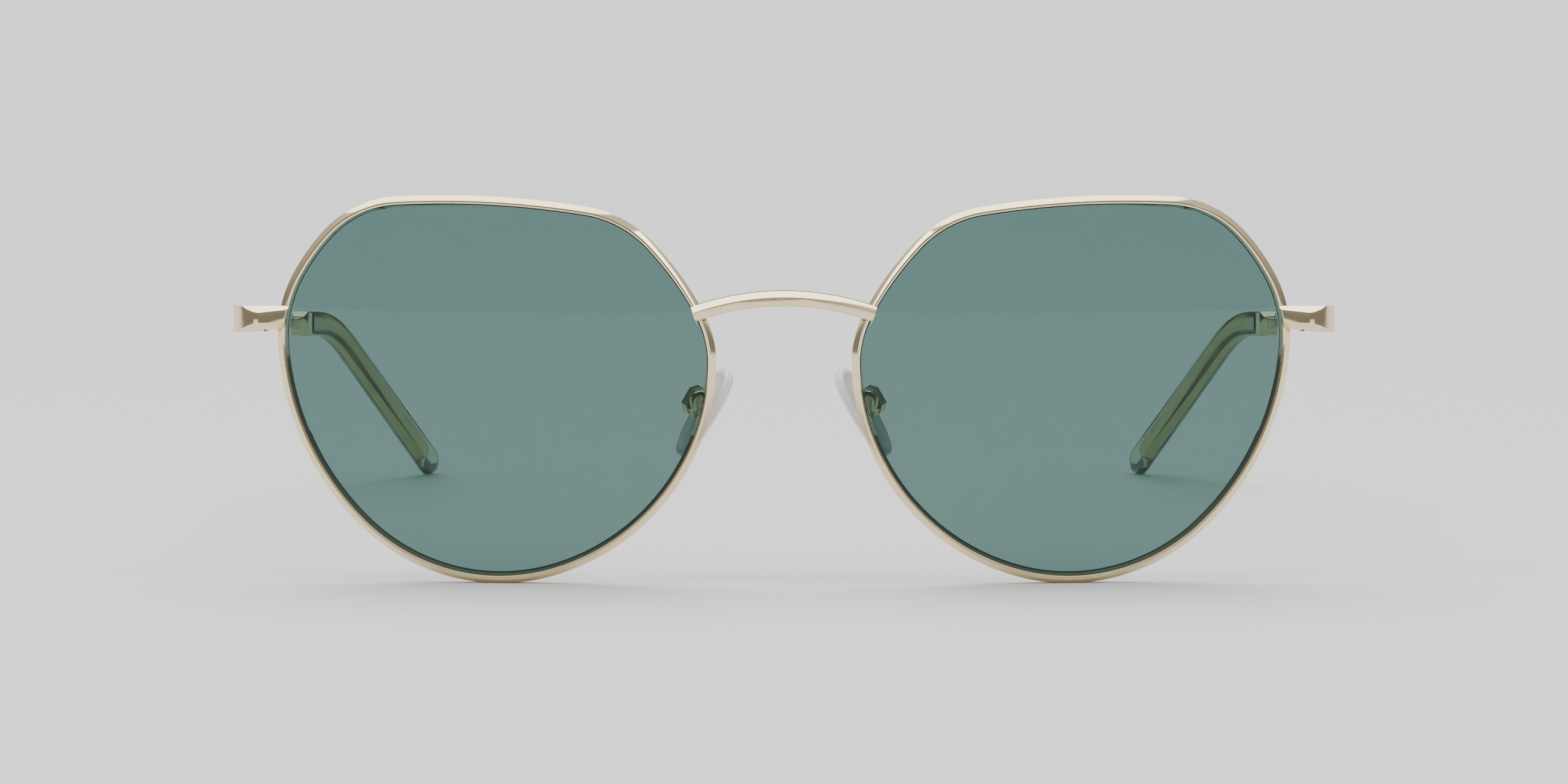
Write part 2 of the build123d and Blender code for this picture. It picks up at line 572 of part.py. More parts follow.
with BuildPart() as pad:
    with BuildSketch(PAD_PLANE):
        Ellipse(PAD_WIDTH / 2, PAD_LENGTH / 2)
    extrude(amount=PAD_THICKNESS / 2, both=True)
    fillet(pad.edges().filter_by(lambda edge: edge.length > PAD_LENGTH), PAD_EDGE)
    add(insert.part, mode=Mode.SUBTRACT)
left["nose_pad"] = pad.part

# Pad box: a small cup around the lug, closed at its back, with the screw through it
BOX_IN = LUG_THICKNESS / 2 + LUG_CLEARANCE
BOX_OUT = BOX_IN + BOX_WALL
BOX_FRONT_EDGE = PAD_PIVOT - PAD_THICKNESS / 2 - BOX_OPENING     # pivot to the cup's open edge
BOX_DEEP = BOX_FRONT_EDGE + BOX_BACK

with BuildPart(PIVOT_PLANE) as box:
    with Locations((0, 0, -BOX_FRONT_EDGE)):
        Box(2 * BOX_OUT, BOX_HEIGHT, BOX_DEEP + BOX_WALL, align=STAND)
    back_edges = box.edges().filter_by(Axis(PIVOT_PLANE.origin, PIVOT_PLANE.x_dir))
    chamfer(back_edges.sort_by(Axis(PIVOT_PLANE.origin, PIVOT_PLANE.z_dir))[-2:], BOX_BEVEL)
    with Locations((0, 0, -BOX_FRONT_EDGE)):
        Box(2 * BOX_IN, BOX_HEIGHT - 2 * BOX_WALL, BOX_DEEP, align=STAND, mode=Mode.SUBTRACT)
    Cylinder(PAD_SCREW_RADIUS, 4 * BOX_OUT, rotation=ACROSS, mode=Mode.SUBTRACT)
left["pad_box"] = box.part

with BuildPart(PIVOT_PLANE) as pad_screw:
    Cylinder(PAD_SCREW_RADIUS, 2 * BOX_OUT, rotation=ACROSS)
    with Locations((-BOX_OUT - PAD_HEAD_HEIGHT / 2, 0, 0)):
        Cylinder(PAD_HEAD_RADIUS, PAD_HEAD_HEIGHT, rotation=ACROSS)
    with Locations((-BOX_OUT - PAD_HEAD_HEIGHT, 0, 0)):
        Box(2 * SLOT_DEPTH, SLOT_WIDTH, 3 * PAD_HEAD_RADIUS, mode=Mode.SUBTRACT)
left["pad_screw"] = pad_screw.part

# Pad arm: round wire from the back of the rim to the front wall of the box
arm_side = lens_edge(ARM_ROOT_UP, -1, RIM_WIDTH / 2)
arm_root = on_curve(arm_side, ARM_ROOT_UP, ARM_ROOT_LAP - RIM_DEPTH / 2)
arm_clear = arm_root - RIM_PLANE.z_dir * ARM_RUN_OUT
arm_foot = PIVOT_PLANE.from_local_coords((-BOX_OUT, *ARM_FOOT))
arm_turn = PIVOT_PLANE.from_local_coords((-BOX_OUT - ARM_RUN_IN, *ARM_FOOT))

with BuildPart() as arm:
    with BuildLine() as arm_path:
        FilletPolyline(arm_root, arm_clear, ARM_KNEE, arm_turn, arm_foot, radius=ARM_BEND)
    with BuildSketch(Plane(arm_root, z_dir=-RIM_PLANE.z_dir)):
        Circle(ARM_RADIUS)
    sweep()
    add(rim_bar.part, mode=Mode.SUBTRACT)
left["pad_arm"] = arm.part


def lowest(part, tip_back):
    """The lowest height of a part when the worn frame is tipped back."""
    return part.rotate(Axis.X, -tip_back).bounding_box().min.Z


# The whole object is tipped back until the rims and the temple tips stand on one table
tip_back = 0.0
for _ in range(5):
    lift = lowest(tip.part, tip_back) - lowest(rim.part, tip_back)
    tip_back += degrees(lift / END_PLANE.origin.Y)

pieces = {"bridge": bridge.part}
for name, piece in left.items():
    pieces["left_" + name] = piece
    pieces["right_" + name] = piece.mirror(Plane.YZ)

tipped = Compound(children=[piece.rotate(Axis.X, -tip_back) for piece in pieces.values()]).bounding_box()
STAND_AT = Location((0, -tipped.center().Y, -tipped.min.Z)) * Location((0, 0, 0), (-tip_back, 0, 0))

os.makedirs("parts", exist_ok=True)
for name, piece in pieces.items():
    placed = piece.moved(STAND_AT)
    placed.label = name
    export_step(placed, f"parts/{name}.step")
print(f"tipped back {tip_back:.2f} degrees, overall {tipped.size}")
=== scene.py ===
import json
from math import atan2, cos, degrees, pi, radians, sin, sqrt

import bmesh
import bpy
from mathutils import Matrix, Vector


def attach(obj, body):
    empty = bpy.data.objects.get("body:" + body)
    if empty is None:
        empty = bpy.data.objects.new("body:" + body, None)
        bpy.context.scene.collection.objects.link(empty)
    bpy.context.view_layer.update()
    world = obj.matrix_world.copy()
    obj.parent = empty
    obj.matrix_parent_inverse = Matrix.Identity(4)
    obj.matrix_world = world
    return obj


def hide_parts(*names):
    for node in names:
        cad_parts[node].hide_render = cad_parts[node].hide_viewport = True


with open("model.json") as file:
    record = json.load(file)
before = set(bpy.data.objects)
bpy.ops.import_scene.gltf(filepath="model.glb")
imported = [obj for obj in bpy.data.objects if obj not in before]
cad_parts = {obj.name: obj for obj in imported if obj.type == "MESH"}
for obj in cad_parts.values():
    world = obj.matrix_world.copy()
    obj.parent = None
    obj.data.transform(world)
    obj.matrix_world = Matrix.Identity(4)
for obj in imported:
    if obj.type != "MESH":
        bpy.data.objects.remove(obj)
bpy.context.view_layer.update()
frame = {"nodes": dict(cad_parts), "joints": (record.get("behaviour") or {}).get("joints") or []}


# Rims: a light gold wire bent to the shape of each lens, with a bevelled front and a hidden groove
# inside for the lens.  The ends meet at the temple side and are drawn together by the rim lock.
# Sizes are in millimetres and degrees, and MM takes them to the scene's metres.
MM = 0.001
RIM_WIDTH = 1.2            # seen from the front
RIM_SECTION = [            # forwards from the middle, and out from the lens
    (-0.95, 0.12), (-0.83, 0.0), (0.72, 0.0), (0.93, 0.26), (0.95, 0.30), (0.95, 0.46), (0.93, 0.50),
    (0.44, 1.16), (0.38, 1.2), (-0.83, 1.2), (-0.95, 1.08),
]
LENS_WIDTH = 53.2
NOSE_GAP = 20.0
BASE_RADIUS = 131.0        # of the sphere that rims and lenses follow
WRAP = 5.0                 # each rim turned back at the temple side
PANTO = 7.0                # rims tipped in towards the cheeks
OUTLINE_START = -17.0      # heading low on the nose side
OUTLINE_ARCS = [           # radius and turn of each arc, anticlockwise; two radii close the outline
    (23.5, 61.0), (None, 42.0), (15.5, 33.0), (26.0, 14.0), (12.5, 43.0),
    (105.0, 13.0), (13.5, 37.0), (38.0, 16.0), (12.5, 30.0), (None, 71.0),
]
RIM_STEPS = 360
RIM_CREASE = 12.0          # edges sharper than this stay crisp
MERGE_WITHIN = 1e-7        # metres
GOLD = (0.88, 0.73, 0.46)
GOLD_CLOUDED = (0.82, 0.67, 0.41)
GOLD_POLISH = (0.07, 0.11)   # lowest and highest roughness
CLOUD_SCALE = 350
HAIRLINE_STRETCH = (1500, 1500, 5000)
HAIRLINE_DEPTH = 1e-6      # metres
BUMP_STRENGTH = 0.15
NOISE_RANGE = (0.3, 0.7)   # where nearly all of a noise pattern's values lie
SIDES = (("left", 1), ("right", -1))

# The rest frame tips the worn frame back about X; both share the left hinge axis.
left_hinge = next(joint for joint in frame["joints"] if joint["name"] == "left_temple_fold")
HINGE_AT = Vector((66.564, 11.373, 9.231))     # in the worn frame
upright = Vector(left_hinge["axis"])
worn_axes = Matrix((Vector((1, 0, 0)), upright.cross(Vector((1, 0, 0))), upright)).transposed()
WORN = (Matrix.Translation(left_hinge["pos_m"]) @ worn_axes.to_4x4()
        @ Matrix.Scale(MM, 4) @ Matrix.Translation(-HINGE_AT))


def outline_step(heading, turn):
    """How far a unit arc goes, across and up."""
    start, stop = radians(heading), radians(heading + turn)
    return sin(stop) - sin(start), cos(start) - cos(stop)


def solve_outline():
    """The lens outline's arcs with the two open radii found, at the width of the lens."""
    heading, gap, steps = OUTLINE_START, [0.0, 0.0], []
    for radius, turn in OUTLINE_ARCS:
        step = outline_step(heading, turn)
        if radius is None:
            steps.append(step)
        else:
            gap = [gap[0] + radius * step[0], gap[1] + radius * step[1]]
        heading += turn
    (ax, ay), (bx, by) = steps
    area = ax * by - ay * bx
    found = iter(((gap[1] * bx - gap[0] * by) / area, (gap[0] * ay - gap[1] * ax) / area))
    arcs = [(next(found) if radius is None else radius, turn) for radius, turn in OUTLINE_ARCS]
    across = outline_point(arcs, 90)[0] - outline_point(arcs, 270)[0]
    return [(radius * LENS_WIDTH / across, turn) for radius, turn in arcs]


def outline_point(arcs, heading):
    """The outline's point, from its start, where it runs at this heading."""
    x, y, start = 0.0, 0.0, OUTLINE_START
    for radius, turn in arcs:
        part = min(turn, max(0.0, heading - start))
        step = outline_step(start, part)
        x, y = x + radius * step[0], y + radius * step[1]
        start += turn
    return x, y


lens_arcs = solve_outline()
middle_x = (outline_point(lens_arcs, 90)[0] + outline_point(lens_arcs, 270)[0]) / 2
middle_y = (outline_point(lens_arcs, 180)[1] + outline_point(lens_arcs, 0)[1]) / 2


def lens_point(heading, grow):
    """A point of the lens outline grown outwards, from the middle of the lens."""
    x, y = outline_point(lens_arcs, heading)
    return (x - middle_x + grow * sin(radians(heading)), y - middle_y - grow * cos(radians(heading)))


def even_outline(grow, count):
    """Points spaced evenly round the outline."""
    length = sum(radius * radians(turn) for radius, turn in lens_arcs)
    points = []
    for index in range(count):
        along, heading = length * index / count, OUTLINE_START
        for radius, turn in lens_arcs:
            arc = radius * radians(turn)
            if along <= arc:
                points.append(lens_point(heading + degrees(along / radius), grow))
                break
            along, heading = along - arc, heading + turn
    return points


front_plane = Matrix.Rotation(radians(90 + PANTO), 4, "X")
lens_offset = (LENS_WIDTH * cos(radians(WRAP)) + NOSE_GAP) / 2
RIM = (WORN @ front_plane @ Matrix.Translation((lens_offset, 0, 0))
       @ Matrix.Rotation(radians(WRAP), 4, "Y"))


def on_sphere(x, y, lift=0.0):
    """A point of the rim's curved middle surface, in the rim's own axes."""
    out = Vector((x, y, sqrt(BASE_RADIUS**2 - x**2 - y**2)))
    return out * (1 + lift / BASE_RADIUS) - Vector((0, 0, BASE_RADIUS))


def new_tree(name, inputs):
    """A geometry tree with named inputs, each a socket type and a default."""
    tree = bpy.data.node_groups.new(name, "GeometryNodeTree")
    tree.interface.new_socket("Geometry", in_out="INPUT", socket_type="NodeSocketGeometry")
    for label, (kind, default) in inputs.items():
        socket = tree.interface.new_socket(label, in_out="INPUT", socket_type="NodeSocket" + kind)
        if default is not None:
            socket.default_value = default
    tree.interface.new_socket("Geometry", in_out="OUTPUT", socket_type="NodeSocketGeometry")
    return tree, tree.nodes.new("NodeGroupInput"), tree.nodes.new("NodeGroupOutput")


def chain(tree, *steps):
    """Joins nodes one after another by their first geometry sockets."""
    for before, after in zip(steps, steps[1:]):
        tree.links.new(before.outputs[0], after.inputs[0])


def grown(name, path, tree, values):
    """The plain mesh that a tree grows from a path, with its inputs set by name."""
    rough = bpy.data.objects.new(name, path)
    bpy.context.scene.collection.objects.link(rough)
    modifier = rough.modifiers.new(name, "NODES")
    modifier.node_group = tree
    for item in tree.interface.items_tree:
        if item.in_out == "INPUT" and item.name in values:
            modifier[item.identifier] = values[item.name]
    evaluated = rough.evaluated_get(bpy.context.evaluated_depsgraph_get())
    mesh = bpy.data.meshes.new_from_object(evaluated)
    bpy.data.objects.remove(rough)
    return mesh


def outward(mesh):
    """Merges a mesh's doubles and turns its faces to point out."""
    work = bmesh.new()
    work.from_mesh(mesh)
    bmesh.ops.remove_doubles(work, verts=work.verts, dist=MERGE_WITHIN)
    bmesh.ops.recalc_face_normals(work, faces=work.faces)
    work.to_mesh(mesh)
    work.free()
    return mesh


def smooth(mesh, angle=30.0):
    """Shades a mesh smooth but for edges sharper than the angle."""
    mesh.shade_smooth()
    mesh.set_sharp_from_angle(angle=radians(angle))
    return mesh


def fit_pair(name, mesh, body, nodes):
    """Fits a left piece and its mirror image; body and nodes take the side's name."""
    for side, sign in SIDES:
        own = mesh.copy()
        if sign < 0:
            own.transform(Matrix.Scale(-1, 4, (1, 0, 0)))
            own.flip_normals()
        piece = bpy.data.objects.new(f"{side}_{name}", own)
        bpy.context.scene.collection.objects.link(piece)
        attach(piece, body.format(side))
        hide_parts(*[f"{side}_{node}" for node in nodes])


def new_material(name):
    """A material with its nodes, links and shader, and the object's own coordinates."""
    material = bpy.data.materials.new(name)
    material.use_nodes = True
    nodes, links = material.node_tree.nodes, material.node_tree.links
    place = nodes.new("ShaderNodeTexCoord").outputs["Object"]
    return material, nodes, links, nodes["Principled BSDF"], place


def noise(nodes, links, vector, scale, detail=3.0):
    """A noise pattern's value over the surface."""
    node = nodes.new("ShaderNodeTexNoise")
    node.inputs["Scale"].default_value = scale
    node.inputs["Detail"].default_value = detail
    links.new(vector, node.inputs["Vector"])
    return node.outputs["Fac"]


def spread(nodes, links, value, low, high):
    """A pattern's value spread from low to high."""
    node = nodes.new("ShaderNodeMapRange")
    node.inputs["From Min"].default_value, node.inputs["From Max"].default_value = NOISE_RANGE
    node.inputs["To Min"].default_value = low
    node.inputs["To Max"].default_value = high
    links.new(value, node.inputs["Value"])
    return node.outputs["Result"]


def two_tone(nodes, links, value, first, second):
    """A colour that goes from one tone to another with a value."""
    node = nodes.new("ShaderNodeMix")
    node.data_type = "RGBA"
    node.inputs["A"].default_value = (*first, 1)
    node.inputs["B"].default_value = (*second, 1)
    links.new(value, node.inputs["Factor"])
    return node.outputs["Result"]


def bump(nodes, links, shader, height, distance):
    """Fine relief on a shader's surface."""
    node = nodes.new("ShaderNodeBump")
    node.inputs["Strength"].default_value = BUMP_STRENGTH
    node.inputs["Distance"].default_value = distance
    links.new(height, node.inputs["Height"])
    links.new(node.outputs["Normal"], shader.inputs["Normal"])


def plated_metal(name, tone, clouded_tone, polish):
    """Plated metal: polished, with faint clouding and hairline scratches."""
    material, nodes, links, shader, place = new_material(name)
    shader.inputs["Metallic"].default_value = 1.0
    clouds = spread(nodes, links, noise(nodes, links, place, CLOUD_SCALE, 4), 0, 1)
    links.new(two_tone(nodes, links, clouds, tone, clouded_tone), shader.inputs["Base Color"])
    stretch = nodes.new("ShaderNodeMapping")
    stretch.inputs["Scale"].default_value = HAIRLINE_STRETCH
    links.new(place, stretch.inputs["Vector"])
    hairlines = noise(nodes, links, stretch.outputs["Vector"], 1.0, 1)
    links.new(spread(nodes, links, hairlines, *polish), shader.inputs["Roughness"])
    bump(nodes, links, shader, hairlines, HAIRLINE_DEPTH)
    return material


champagne_gold = plated_metal("champagne_gold_plate", GOLD, GOLD_CLOUDED, GOLD_POLISH)


def rim_path():
    """The middle of the wire as a closed loop."""
    path = bpy.data.meshes.new("rim_path")
    points = [RIM @ on_sphere(*point) for point in even_outline(RIM_WIDTH / 2, RIM_STEPS)]
    path.from_pydata(points, [(i, (i + 1) % RIM_STEPS) for i in range(RIM_STEPS)], [])
    return path


def wire_tree():
    """A wire of one section swept along a path and set square to a centre point."""
    tree, given, result = new_tree("shaped_wire", {
        "Section": ("Object", None), "Centre": ("Vector", (0, 0, 0)), "Material": ("Material", None),
    })
    nodes, links = tree.nodes, tree.links
    curve = nodes.new("GeometryNodeMeshToCurve")
    position = nodes.new("GeometryNodeInputPosition")
    away = nodes.new("ShaderNodeVectorMath")
    away.operation = "SUBTRACT"
    unit = nodes.new("ShaderNodeVectorMath")
    unit.operation = "NORMALIZE"
    square = nodes.new("GeometryNodeSetCurveNormal")
    square.mode = "FREE"
    section = nodes.new("GeometryNodeObjectInfo")
    sweep = nodes.new("GeometryNodeCurveToMesh")
    realize = nodes.new("GeometryNodeRealizeInstances")
    coat = nodes.new("GeometryNodeSetMaterial")
    links.new(position.outputs[0], away.inputs[0])
    links.new(given.outputs["Centre"], away.inputs[1])
    links.new(away.outputs[0], unit.inputs[0])
    links.new(unit.outputs[0], square.inputs["Normal"])
    links.new(given.outputs["Section"], section.inputs["Object"])
    links.new(given.outputs["Material"], coat.inputs["Material"])
    chain(tree, given, curve, square, sweep, realize, coat, result)
    links.new(section.outputs["Geometry"], sweep.inputs["Profile Curve"])
    return tree


def section_curve(points):
    """A closed flat curve through the corners of a wire's section."""
    curve = bpy.data.curves.new("section", "CURVE")
    spline = curve.splines.new("POLY")
    spline.points.add(len(points) - 1)
    for point, (forward, out) in zip(spline.points, points):
        point.co = (forward * MM, (out - RIM_WIDTH / 2) * MM, 0, 1)
    spline.use_cyclic_u = True
    return bpy.data.objects.new("section", curve)


rim_section = section_curve(RIM_SECTION)
rim_mesh = grown("rim", rim_path(), wire_tree(), {
    "Section": rim_section, "Centre": RIM @ Vector((0, 0, -BASE_RADIUS)), "Material": champagne_gold,
})
bpy.data.objects.remove(rim_section)
fit_pair("rim_wire", smooth(outward(rim_mesh), RIM_CREASE), "front", ["rim"])


# Lenses: grey-green tinted lenses 1.8 mm thick, cut to the rim's outline and curved like a shallow
# bowl.  The rims' grooves hold them by the edge, and the locks hold the rims shut round them.
LENS_THICKNESS = 1.8
LENS_RINGS = 14
LENS_STEPS = 240
LENS_BITE = 0.02           # the shown lens ends just inside the rim's inner wall
LENS_ROUND = 0.12          # soft arris along the edge
LENS_CREASE = 40.0
LENS_TINT = (0.106, 0.193, 0.179)
LENS_TINT_LIGHT = (0.109, 0.196, 0.182)
LENS_IOR = 1.25            # low, as a coating against glare leaves little reflection


def lens_mesh():
    """Front and back faces of rings that run from the outline to the middle, closed by the edge."""
    outline = even_outline(LENS_BITE, LENS_STEPS)
    profile = [(k / LENS_RINGS, LENS_THICKNESS / 2) for k in range(1, LENS_RINGS)]
    inset = 1 - LENS_ROUND / (LENS_WIDTH / 2)
    profile += [(inset, LENS_THICKNESS / 2), (1.0, LENS_THICKNESS / 2 - LENS_ROUND)]
    profile += [(share, -lift) for share, lift in reversed(profile)]
    points = [RIM @ on_sphere(0, 0, LENS_THICKNESS / 2)]
    points += [RIM @ on_sphere(x * share, y * share, lift)
               for share, lift in profile for x, y in outline]
    points.append(RIM @ on_sphere(0, 0, -LENS_THICKNESS / 2))
    faces, last = [], len(points) - 1
    for i in range(LENS_STEPS):
        j = (i + 1) % LENS_STEPS
        faces.append((0, 1 + i, 1 + j))
        for ring in range(len(profile) - 1):
            base, above = 1 + ring * LENS_STEPS, 1 + (ring + 1) * LENS_STEPS
            faces.append((base + i, above + i, above + j, base + j))
        faces.append((last, last - LENS_STEPS + j, last - LENS_STEPS + i))
    mesh = bpy.data.meshes.new("lens")
    mesh.from_pydata(points, [], faces)
    return mesh


def tinted_lens():
    """Clear grey-green lens material, with hardly any clouding."""
    material, nodes, links, shader, place = new_material("grey_green_lens")
    clouds = noise(nodes, links, place, 40, 2)
    tint = two_tone(nodes, links, clouds, LENS_TINT, LENS_TINT_LIGHT)
    links.new(tint, shader.inputs["Base Color"])
    shader.inputs["Roughness"].default_value = 0.0
    shader.inputs["IOR"].default_value = LENS_IOR
    shader.inputs["Transmission Weight"].default_value = 1.0
    return material


lens = lens_mesh()
lens.materials.append(tinted_lens())
fit_pair("tinted_lens", smooth(outward(lens), LENS_CREASE), "front", ["lens"])


# Endpieces and rim locks: a cast strip lapped over the front of each rim and bent back at the
# corner, soldered to the upper of the two lock blocks that a small screw draws together.
FACET_BREAK = 0.035        # width of the broken edges along the facets
FACET_CREASE = 11.0        # the facets meet at shallow angles
EDGE_BREAK = 0.04
EDGE_CREASE = 27.0
FLAT_WITHIN = 0.6          # triangles this close to flat become one face
BREAK_STEPS = 3
COPY_MERGE = 1e-6          # metres


def machined(node, edge_break, crease):
    """A merged copy of a CAD node with the edges sharper than a crease broken."""
    mesh = frame["nodes"][node].data.copy()
    mesh.materials.clear()
    work = bmesh.new()
    work.from_mesh(mesh)
    bmesh.ops.remove_doubles(work, verts=work.verts, dist=COPY_MERGE)
    bmesh.ops.dissolve_limit(
        work, angle_limit=radians(FLAT_WITHIN), verts=work.verts, edges=work.edges)
    sharp = [edge for edge in work.edges if abs(edge.calc_face_angle(0.0)) > radians(crease)]
    bmesh.ops.bevel(work, geom=sharp, offset=edge_break * MM, segments=BREAK_STEPS,
                    profile=0.5, affect="EDGES")
    work.to_mesh(mesh)
    work.free()
    return smooth(mesh, crease)


def fit_machined(name, node, body, material, edge_break=EDGE_BREAK, crease=EDGE_CREASE):
    """Fits a machined copy of a node on both sides."""
    mesh = machined("left_" + node, edge_break, crease)
    mesh.materials.append(material)
    fit_pair(name, mesh, body, [node])


fit_machined("cast_endpiece", "endpiece", "front", champagne_gold,
             FACET_BREAK, FACET_CREASE)
for level in ("upper", "lower"):
    fit_machined(f"lock_block_{level}", f"rim_lock_{level}", "front", champagne_gold)


# Bridge: one bar of the same metal arched over the nose, its ends let down onto both rims and
# soldered there.
BRIDGE_BREAK = 0.07
bridge_mesh = machined("bridge", BRIDGE_BREAK, FACET_CREASE)
bridge_mesh.materials.append(champagne_gold)
bridge = bpy.data.objects.new("arched_bridge", bridge_mesh)
bpy.context.scene.collection.objects.link(bridge)
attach(bridge, "front")
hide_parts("bridge")


# Hinges: three knuckles on an upright screw, two on the endpiece's leaf and one on the temple's.
fit_machined("front_leaf", "front_hinge_leaf", "front", champagne_gold)
fit_machined("temple_leaf", "temple_hinge_leaf", "{}_temple", champagne_gold)


# Screws: plated steel, with slotted heads, in the hinges, the rim locks and the pad boxes.
SCREW_TONE = (0.66, 0.58, 0.47)
SCREW_CLOUDED = (0.55, 0.48, 0.40)
SCREW_POLISH = (0.2, 0.34)
screw_metal = plated_metal("plated_screw_steel", SCREW_TONE, SCREW_CLOUDED, SCREW_POLISH)
for name, node in (("hinge_pin_screw", "hinge_screw"), ("lock_pin_screw", "rim_lock_screw"),
                   ("pad_pin_screw", "pad_screw")):
    fit_machined(name, node, "front", screw_metal)


# Temples: a flat bar that tapers from the hinge, bent inwards before a flared ferrule, with a
# thin core that runs on inside the clear tip.  Bar, ferrule and core are one piece of metal.
TOE_IN = 0.5
BAR_OUT = 2.55             # hinge axis to the middle of the bar
BAR_THICKNESS = 1.3
BAR_HEIGHT = 1.4           # of the slim part
BAR_EDGE = 0.16            # radius of the rounded corners
ROOT_HEIGHT = 3.2
ROOT_LENGTH = 6.0
TAPER_LENGTH = 22.0
TAPER_STEPS = 16
BUTT_GAP = 0.15            # between the ends of temple and endpiece when open
END_BREAK = 0.05           # chamfer at the ends of the bar, and its length
END_BREAK_LENGTH = 0.06
STRAIGHT = 80.3            # hinge to the first bend
BEND_LEAD = 0.5            # last ring of the straight, before the bend
SIDE_BEND = (56.0, 0.0, 6.0)       # radius, roll and angle
HEAD_BEND = (40.0, 0.0, 9.5)
EAR_BEND = (21.0, -80.0, 32.0)
FERRULE = (2.4, 3.3)               # thickness and height
FERRULE_LENGTH = 5.5
FLARE_LENGTH = 2.4
FLARE_POWER = 2.2          # how late the flare opens
FLARE_STEPS = 8
NECK_LENGTH = 0.3          # the dark ring between ferrule and tip
NECK_INSET = 0.3
CORE = (0.8, 2.2)          # thickness and height
CORE_EDGE = 0.2
CORE_STOP = 4.2            # short of the end of the tip
CORE_ROUND = 1.0
CORE_ROUND_SHARE = 0.9
CORE_END_EDGE = 0.15
CORE_ROUND_STEPS = 7
CORE_HEAD_STEPS = 6
CORE_EAR_STEPS = 14
CORE_RUN_STEPS = 6
SIDE_STEPS = 8
TIP_STRAIGHT = 34.0
CORNER_STEPS = 5
TEMPLE_CREASE = 24.0


def along(plane, distance):
    """A plane carried straight on."""
    return plane @ Matrix.Translation((0, 0, distance))


def bent(plane, bend, share=1.0):
    """A plane carried part of the way round a bend."""
    radius, roll, angle = bend
    roll = radians(roll)
    pivot = Matrix.Translation((radius * cos(roll), radius * sin(roll), 0))
    turn = Matrix.Rotation(radians(angle * share), 4, Vector((-sin(roll), cos(roll), 0)))
    return plane @ pivot @ turn @ pivot.inverted()


toe = radians(TOE_IN)
temple_axes = Matrix(((-cos(toe), -sin(toe), 0), (0, 0, 1), (-sin(toe), cos(toe), 0))).transposed()
bar_plane = (WORN @ Matrix.Translation(HINGE_AT) @ temple_axes.to_4x4()
             @ Matrix.Translation((-BAR_OUT, 0, 0)))
flare_plane = bent(along(bar_plane, STRAIGHT), SIDE_BEND)
neck_plane = along(flare_plane, FERRULE_LENGTH)
tip_plane = along(neck_plane, NECK_LENGTH)
ear_plane = bent(tip_plane, HEAD_BEND)
run_plane = bent(ear_plane, EAR_BEND)


def bar_ring(plane, thickness, height, edge):
    """The points round a rounded bar's section."""
    corners = ((1, 1, 0), (-1, 1, 90), (-1, -1, 180), (1, -1, 270))
    ring = []
    for across, up, first in corners:
        for step in range(CORNER_STEPS + 1):
            turn = radians(first + 90 * step / CORNER_STEPS)
            ring.append(plane @ Vector((
                across * (thickness / 2 - edge) + edge * cos(turn),
                up * (height / 2 - edge) + edge * sin(turn), 0)))
    return ring


def swept_bar(name, rings):
    """A closed skin over a row of rings."""
    count = len(rings[0])
    faces = [[base + i, base + (i + 1) % count, base + count + (i + 1) % count, base + count + i]
             for base in range(0, count * (len(rings) - 1), count) for i in range(count)]
    last = count * (len(rings) - 1)
    faces += [list(range(count)), list(range(last, last + count))]
    mesh = bpy.data.meshes.new(name)
    mesh.from_pydata([point for ring in rings for point in ring], [], faces)
    return outward(mesh)


def ease(share):
    """A smooth run from 0 to 1."""
    return share * share * (3 - 2 * share)


def core_rings():
    """The core inside the tip, round at its end."""
    thickness, height = CORE
    stop = TIP_STRAIGHT - CORE_STOP
    planes = [bent(tip_plane, HEAD_BEND, k / CORE_HEAD_STEPS) for k in range(1, CORE_HEAD_STEPS + 1)]
    planes += [bent(ear_plane, EAR_BEND, k / CORE_EAR_STEPS) for k in range(1, CORE_EAR_STEPS + 1)]
    planes += [along(run_plane, stop * k / CORE_RUN_STEPS) for k in range(1, CORE_RUN_STEPS)]
    rings = [bar_ring(plane, thickness, height, CORE_EDGE) for plane in planes]
    for k in range(CORE_ROUND_STEPS):
        turn = radians(90 * k / (CORE_ROUND_STEPS - 0.5))
        back = CORE_ROUND * (1 - sin(turn))
        lower = 2 * CORE_ROUND * (1 - cos(turn)) * CORE_ROUND_SHARE
        rings.append(bar_ring(along(run_plane, stop - back), thickness, height - lower, CORE_END_EDGE))
    return rings


